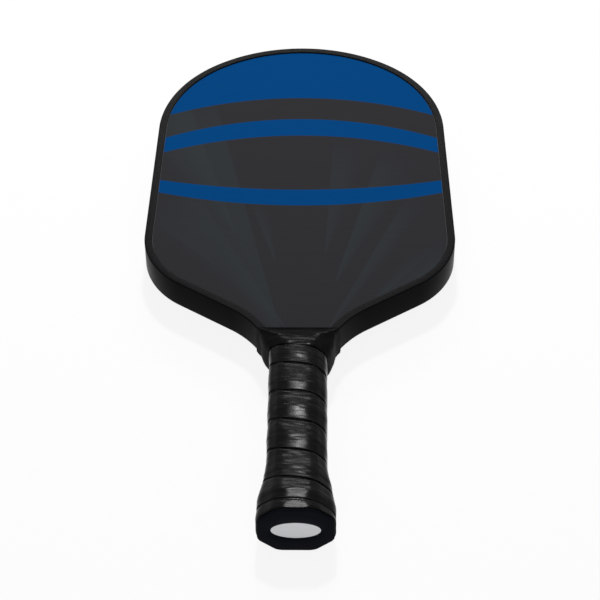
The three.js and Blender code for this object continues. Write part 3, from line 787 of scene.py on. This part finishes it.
def grip_rings(sizes):
    """Sections across the tape, all along it, and each point's place along and across the tape."""
    thick, lap, depth = (v / MM for v in (sizes.tape_thickness, sizes.tape_lap, sizes.wrinkle_depth))
    noise = Wrinkles(sizes.seed)
    turns = np.arange(int(FIRST_TURN * ROWS_PER_TURN), int(LAST_TURN * ROWS_PER_TURN) + 1) / ROWS_PER_TURN
    low = tape_edge(turns)
    pitch = tape_edge(turns + 1) - low
    start = np.maximum(0, TAPE_START - low)
    end = np.minimum(pitch + lap, TAPE_TOP - low)
    keep = end - start > NARROWEST
    turns, low, pitch, start, end = (a[keep][:, None] for a in (turns, low, pitch, start, end))
    around = turns * TURN_LENGTH
    top = start + (end - start) * tape_spacing(lap)
    under = start + (end - start) * np.array(UNDER_SPACING)

    share = top / pitch
    swell = FOOT_SHARE + SWELL * smoothstep(share, 0, 0.4) - THINNING * smoothstep(share, 0.4, 1.0)
    flare = smoothstep(FLARE_END - low - top, 0, FLARE_END - FLARE_START)
    edge = np.clip(1 - (top - start) / EDGE_WIDTH, 0, 1)
    body = thick * swell * (1 - FLARE_STRETCH * flare) - EDGE_DROP * (1 - np.sqrt(1 - edge ** 2))
    creases = noise.layered(around / CREASE_SIZE[0] + 0.1 * top, top / CREASE_SIZE[1], 3)
    puckers = noise.layered(around / PUCKER_SIZE[0] + 31, top / PUCKER_SIZE[1] + 11, 2)
    body = body + depth * WRINKLE_SHARE * (creases + puckers) * (1 - 0.8 * edge)
    dip = smoothstep(top, pitch - DIP_START, pitch - DIP_END)
    dip_height = lerp(DIP_HEIGHT, LAP_HEIGHT, smoothstep(top, pitch, pitch + 0.6))
    height_top = lerp(body, dip_height, dip)
    height_under = lerp(UNDER_HEIGHT, UNDER_FOOT, smoothstep(under, *UNDER_STEP))

    columns = np.concatenate([top, under], 1)
    squeeze = 1 - NECK_SQUEEZE * smoothstep(low + columns, BAND_END + 2, TAPE_TOP)
    heights = np.concatenate([height_top, height_under], 1) * squeeze
    y = low + columns
    wander = WANDER * noise.layered(around / WANDER_LENGTH + 7, np.full_like(top, 3), 2)
    y[:, :top.shape[1]] += np.where(start > 0, 0, wander * (1 - smoothstep(share, 0, 0.3)))
    y = np.clip(y, TAPE_START, TAPE_TOP)
    section = winding_section(y)
    x, z = octagon(section, FRONT_CENTRE + 8 * turns, heights, GRIP_SOFTEN)
    bow = FLAT_BOW * (BOW_CROWN - np.clip(x / section[2], -1, 1) ** 2) * squeeze
    padded = np.concatenate([1 - dip, np.zeros_like(under)], 1)
    bow = lerp(np.maximum(bow, 0), bow, padded)
    z = np.sign(z) * np.minimum(np.abs(z) + bow * smoothstep(np.abs(z), 0, HANDLE[1]), GRIP_LIMIT)
    along = np.stack([around + 0 * columns, columns], -1)
    return np.stack([x, y, z], -1), along


class PADDLE_OT_grip_tape(bpy.types.Operator):
    """Wind the grip tape round the handle"""
    bl_idname = "paddle.grip_tape"
    bl_label = "Grip tape"

    def execute(self, context):
        rings, along = grip_rings(context.scene.paddle_sizes)
        mesh = rings_mesh("grip_tape_wound", rings)
        if len(mesh.vertices) != rings[..., 0].size:
            raise RuntimeError("points of the grip tape were merged")
        layer = mesh.uv_layers.new(name="along_tape")
        corners = np.zeros(len(mesh.loops), int)
        mesh.loops.foreach_get("vertex_index", corners)
        layer.data.foreach_set("uv", (along.reshape(-1, 2)[corners] * MM).ravel())
        material = cushioned_grip(context.scene.paddle_colours.grip)
        finished_piece("grip_tape_wound", mesh, material, "grip_tape", sharp=60)
        return {"FINISHED"}


# ------------------------------ finishing tape

BAND_TOP, BAND_END = 143.5, 124.2
BAND_SLANT = 2.8  # how far its lower edge is above BAND_END at the left, and below it at the right
BAND_COLUMNS, BAND_ROWS = 256, 48
BAND_FIT = 0.2  # how far it stands off what it covers
BAND_SWELL = 0.3  # how much further it stands off at the front and back of its lower edge
BAND_SOFTEN = 0.22
FACE_STEP, STUCK_WIDTH = 1.1, 3  # from the guard's lips down to the face, and where the tape fills it
WING_BULGE = 0.8  # how far the stretched sides stand out from straight
BAND_EDGE, BAND_EDGE_DROP = 0.3, 0.25
BAND_FOOT, BAND_FOOT_DROP = 5, 0.5  # it draws in towards its lower edge
BAND_RAGGED = 0.25
FOLD_SIZE, FOLD_DEPTH = (9, 1.6), 0.12  # round and along the handle
SWELL_SIZE, SWELL_DEPTH = (6, 4), 0.16
EIGHTH_LENGTH = 15  # round the handle


def band_lower_edge(eighth):
    """Its height round the handle: a straight ring, slightly slanted."""
    return BAND_END - BAND_SLANT * np.cos((eighth - 0.5) * math.pi / 4)


def band_section(height, eighth, sizes):
    """Outside of the finishing tape: from the winding to the guard's ends and lips."""
    over_guard = BAND_FIT + sizes.band_thickness / MM
    over_winding = over_guard + sizes.tape_thickness / MM
    flat_grow = over_winding * math.tan(math.pi / 8)
    width, _, wide, narrow = winding_section(height)
    foot_height = band_lower_edge(eighth)
    foot = winding_section(foot_height)[0] + over_winding
    neck = neck_half_width(np.maximum(height, GUARD_END), 0) + over_guard
    climb = np.clip((height - foot_height) / (GUARD_END - foot_height), 0, 1)
    half_width = np.maximum(lerp(foot, neck, climb), width + over_winding)
    half_width = half_width + WING_BULGE * np.sin(climb * math.pi)
    neck_depth = GUARD_HALF + over_guard
    share = (height - foot_height) / (BAND_TOP - foot_height)
    half_depth = lerp(HANDLE[1] + over_winding + BAND_SWELL, neck_depth, share ** 2)
    flatness = smoothstep(share, 0.3, 1)
    return (half_width, half_depth, lerp(wide + flat_grow, half_width - 1, flatness),
            lerp(narrow + flat_grow, neck_depth - 0.5, flatness))


def band_rings(sizes):
    """Rings round the neck, up its outside and down its inside."""
    noise = Wrinkles(sizes.seed + 1)
    thick = sizes.band_thickness / MM
    eighth = np.arange(BAND_COLUMNS) * 8 / BAND_COLUMNS
    low = band_lower_edge(eighth) + BAND_RAGGED * noise(eighth * 5, eighth * 0)
    share = np.linspace(0, 1, BAND_ROWS)[:, None]
    y = lerp(low, BAND_TOP, share)
    around = eighth * EIGHTH_LENGTH
    folds = noise.layered(around / FOLD_SIZE[0] + 3, y / FOLD_SIZE[1], 3)
    swell = noise.layered(around / SWELL_SIZE[0] + 13, y / SWELL_SIZE[1] + 9, 2)
    rim = np.minimum(share, 1 - share) * (BAND_TOP - low)
    edge = np.clip(1 - rim / BAND_EDGE, 0, 1)
    outer = (FOLD_DEPTH * folds + SWELL_DEPTH * swell) * (1 - edge)
    outer = outer - BAND_EDGE_DROP * (1 - np.sqrt(1 - edge ** 2))
    outer = outer - BAND_FOOT_DROP * (1 - smoothstep(rim, 0, BAND_FOOT)) * (share < 0.5)
    inner = -thick - FACE_STEP * smoothstep(y, BAND_TOP - STUCK_WIDTH, BAND_TOP)
    section = band_section(y, eighth, sizes)
    outside, inside = (octagon(section, eighth, grow, BAND_SOFTEN) for grow in (outer, inner))
    rings = [np.stack([x, y, z], -1) for x, z in (outside, inside)]
    return np.concatenate([rings[0], rings[1][::-1]])


class PADDLE_OT_finishing_tape(bpy.types.Operator):
    """Stretch the finishing tape over the neck"""
    bl_idname = "paddle.finishing_tape"
    bl_label = "Finishing tape"

    def execute(self, context):
        mesh = rings_mesh("finishing_tape_band", band_rings(context.scene.paddle_sizes), True)
        material = glossy_tape(context.scene.paddle_colours.band)
        finished_piece("finishing_tape_band", mesh, material, "finishing_tape", sharp=50)
        return {"FINISHED"}


# ------------------------------ butt cap and badge

CAP_POINTS = 128
CAP_SOFTEN, BORE_SOFTEN = 0.16, 0.02
CAP_BEVEL, BEVEL_FLATNESS, BEVEL_STEPS = 1.0, 0.8, 5
FLANGE_DEPTH, FLANGE_PROUD, FLANGE_FLATS, FLANGE_EDGE = 1.2, 0.9, 0.3, 0.12
SKIRT_END, SKIRT_RINGS, SKIRT_INSET = 33, 16, -0.02
BORE_FIT = 0.2  # between the skirt and the handle
CAP_FLOOR, FLOOR_INSET = 3.6, -8
RECESS = (13.6, 6.35, 1.15)  # half-width, half-height and depth
RECESS_EDGE, RECESS_BREAK = 0.25, 0.07
BADGE = (13.5, 6.25)  # half-width and half-height
BADGE_LEVELS = (0.34, 0.15, 1.05)  # depth of its field, of its raised rim, and of its back
CENTRE_SHARE = 0.02  # the last ring at a centre, before its cap
RAY_SPREAD = (20, 16)  # an ellipse's points lie in line with the cap's corners


def cap_ring(section, height, grow=0, soften=CAP_SOFTEN):
    """Points round an octagon of the cap, at a height."""
    eighth = np.arange(CAP_POINTS) * 8 / CAP_POINTS
    x, z = octagon([np.full(CAP_POINTS, float(s)) for s in section], eighth, grow, soften)
    return np.stack([x, np.full(CAP_POINTS, float(height)), z], -1)


def ellipse_ring(half_width, half_height, height, like):
    """Points round an ellipse, in the same directions as another ring's."""
    angle = np.arctan2(like[:, 2] / RAY_SPREAD[1], like[:, 0] / RAY_SPREAD[0])
    return np.stack([half_width * np.cos(angle), np.full(len(like), float(height)),
                     half_height * np.sin(angle)], -1)


def cap_rings():
    """From the middle of the badge's recess, over the face and flange, along the skirt and back
    inside it to the cap's floor."""
    flange = [size + more for size, more in zip(FLARE, (FLANGE_PROUD,) * 2 + (FLANGE_FLATS,) * 2)]
    face = cap_ring(flange, 0, -CAP_BEVEL)
    width, height, depth = RECESS
    rings = [ellipse_ring(width * CENTRE_SHARE, height * CENTRE_SHARE, depth, face)]
    for out, down in ((0, depth), (0, RECESS_EDGE), (RECESS_BREAK, RECESS_BREAK), (RECESS_EDGE, 0)):
        rings.append(ellipse_ring(width + out, height + out, down, face))
    rings += [lerp(ellipse_ring(width, height, 0, face), face, 0.5), face]
    for turn in np.linspace(0, math.pi / 2, BEVEL_STEPS + 1)[1:]:
        rings.append(cap_ring(flange, CAP_BEVEL * (1 - math.cos(turn)) * BEVEL_FLATNESS,
                              CAP_BEVEL * (math.sin(turn) - 1)))
    rings.append(cap_ring(flange, FLANGE_DEPTH - FLANGE_EDGE))
    rings.append(cap_ring(flange, FLANGE_DEPTH, -FLANGE_EDGE))
    rings.append(cap_ring(FLARE, FLANGE_DEPTH, 0.05))
    for height in np.linspace(FLANGE_DEPTH + 0.3, SKIRT_END, SKIRT_RINGS):
        rings.append(cap_ring(winding_section(np.array(height)), height, SKIRT_INSET))
    for height, grow in ((SKIRT_END, BORE_FIT), (CAP_FLOOR, BORE_FIT), (CAP_FLOOR, FLOOR_INSET)):
        rings.append(cap_ring(HANDLE, height, grow, BORE_SOFTEN))
    return np.array(rings)


def badge_rings():
    """A flat field in a raised, rounded rim."""
    field, rim, back = BADGE_LEVELS
    like = cap_ring(FLARE, 0)
    steps = [(CENTRE_SHARE, field), (0.4, field), (0.7, field), (0.86, field), (0.88, 0.32), (0.9, 0.24),
             (0.915, 0.17), (0.93, rim), (0.97, rim), (0.985, 0.17), (0.996, 0.24), (1, field),
             (1, back), (CENTRE_SHARE, back)]
    return np.array([ellipse_ring(BADGE[0] * s, BADGE[1] * s, y, like) for s, y in steps])


class PADDLE_OT_butt_cap(bpy.types.Operator):
    """Mould the butt cap and set its plain badge"""
    bl_idname = "paddle.butt_cap"
    bl_label = "Butt cap"

    def execute(self, context):
        colours = context.scene.paddle_colours
        cap = rings_mesh("butt_cap_moulding", cap_rings())
        plastic = grained_plastic("Butt cap plastic", colours.cap, 0.45)
        finished_piece("butt_cap_moulding", cap, plastic, "butt_cap", sharp=35)
        badge = rings_mesh("butt_cap_plate", badge_rings())
        plate = badge_plate(colours.badge)
        finished_piece("butt_cap_plate", badge, plate, "butt_cap_badge", sharp=35)
        return {"FINISHED"}


# ------------------------------ stage

# Places and sizes on the stage are in metres.
CAMERA_PLACE = (0.01347, -0.85295, 0.81070)
CAMERA_TILT, CAMERA_TURN, CAMERA_ROLL = 43.97, -0.9, -0.51  # in degrees
CAMERA_LENS, CAMERA_SENSOR = 114.4, 36  # in millimetres
WHITE, FLOOR_COLOUR = (1, 1, 1, 1), (0.95, 0.95, 0.95, 1)
FLOOR_WHITENESS = 0.88  # how much of the floor's look is plain white; the rest takes the shadow
FLOOR_REACH, FLOOR_GAP = 6, 0.0002

# Each lamp's place, the point it faces, and its width and height.
KEY_LAMP = (0, 0.64, 1.2), (0, -0.1, MID_PANEL), (0.13, 0.1)
FILL_LAMP = (0, -1.6, 0.75), (0, 0, MID_PANEL), (1.5, 1.2)
RIM_LAMP = (0, 1.4, 0.93), (0, 0.2, MID_PANEL), (1.0, 0.2)


def lamp(name, place, target, size, watts):
    """A soft rectangular lamp that the camera doesn't see."""
    data = bpy.data.lights.new(name, "AREA")
    data.shape = "RECTANGLE"
    data.size, data.size_y = size
    data.energy = watts
    made = bpy.data.objects.new(name, data)
    bpy.context.scene.collection.objects.link(made)
    made.location = place
    made.visible_camera = False
    made.rotation_euler = (Vector(target) - Vector(place)).to_track_quat("-Z", "Y").to_euler()
    return made


def seen_directly(nodes):
    """1 for camera, glossy and transmission rays."""
    camera, glossy, transmission = (
        nodes.node("LightPath", output=name)
        for name in ("Is Camera Ray", "Is Glossy Ray", "Is Transmission Ray"))
    return nodes.maths("MAXIMUM", nodes.maths("MAXIMUM", camera, glossy), transmission)


class PADDLE_OT_stage(bpy.types.Operator):
    """Set the floor, lamps, room light and camera"""
    bl_idname = "paddle.stage"
    bl_label = "Stage"

    def execute(self, context):
        stage = context.scene.paddle_stage
        self.floor(context)
        self.room(context, stage.room_light)
        lamp("Key lamp", *KEY_LAMP, stage.key_power)
        fill = lamp("Fill lamp", *FILL_LAMP, stage.fill_power)
        fill.visible_glossy = False  # soft light only, with no reflection of its own
        lamp("Rim lamp", *RIM_LAMP, stage.rim_power)
        self.camera(context)
        context.scene.view_settings.view_transform = "Standard"
        return {"FINISHED"}

    def floor(self, context):
        """A pale floor that keeps the paddle's shadow."""
        material = bpy.data.materials.new("Pale floor")
        material.use_nodes = True
        nodes = Nodes(material.node_tree)
        diffuse = nodes.node("BsdfDiffuse", None, {"Color": FLOOR_COLOUR})
        white = nodes.node("Emission", None, {"Color": WHITE})
        share = seen_directly(nodes) * FLOOR_WHITENESS
        blend = nodes.node("MixShader", None, {0: share, 1: diffuse, 2: white})
        nodes.node("OutputMaterial", None, {0: blend}, None)
        mesh = bpy.data.meshes.new("floor")
        made = bmesh.new()
        bmesh.ops.create_grid(made, x_segments=1, y_segments=1, size=FLOOR_REACH)
        made.to_mesh(mesh)
        made.free()
        mesh.materials.append(material)
        floor = bpy.data.objects.new("floor", mesh)
        context.scene.collection.objects.link(floor)
        floor.location.z = -FLOOR_GAP

    def room(self, context, strength):
        """White where it is seen or mirrored, and an even light of that strength on the paddle."""
        world = bpy.data.worlds.new("Pale room")
        context.scene.world = world
        world.use_nodes = True
        nodes = Nodes(world.node_tree)
        ambient = nodes.node("Background", None, {"Color": WHITE, "Strength": strength})
        white = nodes.node("Background", None, {"Color": WHITE})
        blend = nodes.node("MixShader", None, {0: seen_directly(nodes), 1: ambient, 2: white})
        nodes.node("OutputWorld", None, {0: blend}, None)

    def camera(self, context):
        """Looks down on the paddle from beyond the butt end."""
        tilt, turn, roll = (math.radians(a) for a in (CAMERA_TILT, CAMERA_TURN, CAMERA_ROLL))
        level = math.cos(tilt)
        forward = Vector((math.sin(turn) * level, math.cos(turn) * level, -math.sin(tilt)))
        right = forward.cross(Vector((0, 0, 1))).normalized()
        up = right.cross(forward)
        across = right * math.cos(roll) + up * math.sin(roll)
        upward = -right * math.sin(roll) + up * math.cos(roll)
        data = bpy.data.cameras.new("Camera")
        data.lens, data.sensor_width = CAMERA_LENS, CAMERA_SENSOR
        camera = bpy.data.objects.new("Camera", data)
        context.scene.collection.objects.link(camera)
        turned = Matrix((across, upward, -forward)).transposed().to_4x4()
        camera.matrix_world = Matrix.Translation(CAMERA_PLACE) @ turned
        context.scene.camera = camera


# ------------------------------ panel and registration

STEPS = ("edge_guard", "faces", "inner_pieces", "grip_tape", "finishing_tape", "butt_cap", "stage")


class PADDLE_PT_panel(bpy.types.Panel):
    """Sizes, colours and steps of the paddle"""
    bl_idname = "PADDLE_PT_panel"
    bl_label = "Pickleball paddle"
    bl_space_type = "VIEW_3D"
    bl_region_type = "UI"
    bl_category = "Paddle"

    def draw(self, context):
        for settings in (context.scene.paddle_sizes, context.scene.paddle_colours,
                         context.scene.paddle_stage):
            box = self.layout.box()
            for name in settings.__annotations__:
                box.prop(settings, name)
        for step in STEPS:
            self.layout.operator("paddle." + step)


CLASSES = (
    PaddleSizes, PaddleColours, PaddleStage, PADDLE_OT_edge_guard, PADDLE_OT_faces,
    PADDLE_OT_inner_pieces, PADDLE_OT_grip_tape, PADDLE_OT_finishing_tape, PADDLE_OT_butt_cap,
    PADDLE_OT_stage, PADDLE_PT_panel,
)
SETTINGS = {"paddle_sizes": PaddleSizes, "paddle_colours": PaddleColours, "paddle_stage": PaddleStage}


def register():
    for each in CLASSES:
        bpy.utils.register_class(each)
    for name, kind in SETTINGS.items():
        setattr(bpy.types.Scene, name, PointerProperty(type=kind))


def unregister():
    for name in SETTINGS:
        delattr(bpy.types.Scene, name)
    for each in reversed(CLASSES):
        bpy.utils.unregister_class(each)


def main():
    register()
    for step in STEPS:
        getattr(bpy.ops.paddle, step)()


if __name__ == "__main__":
    main()
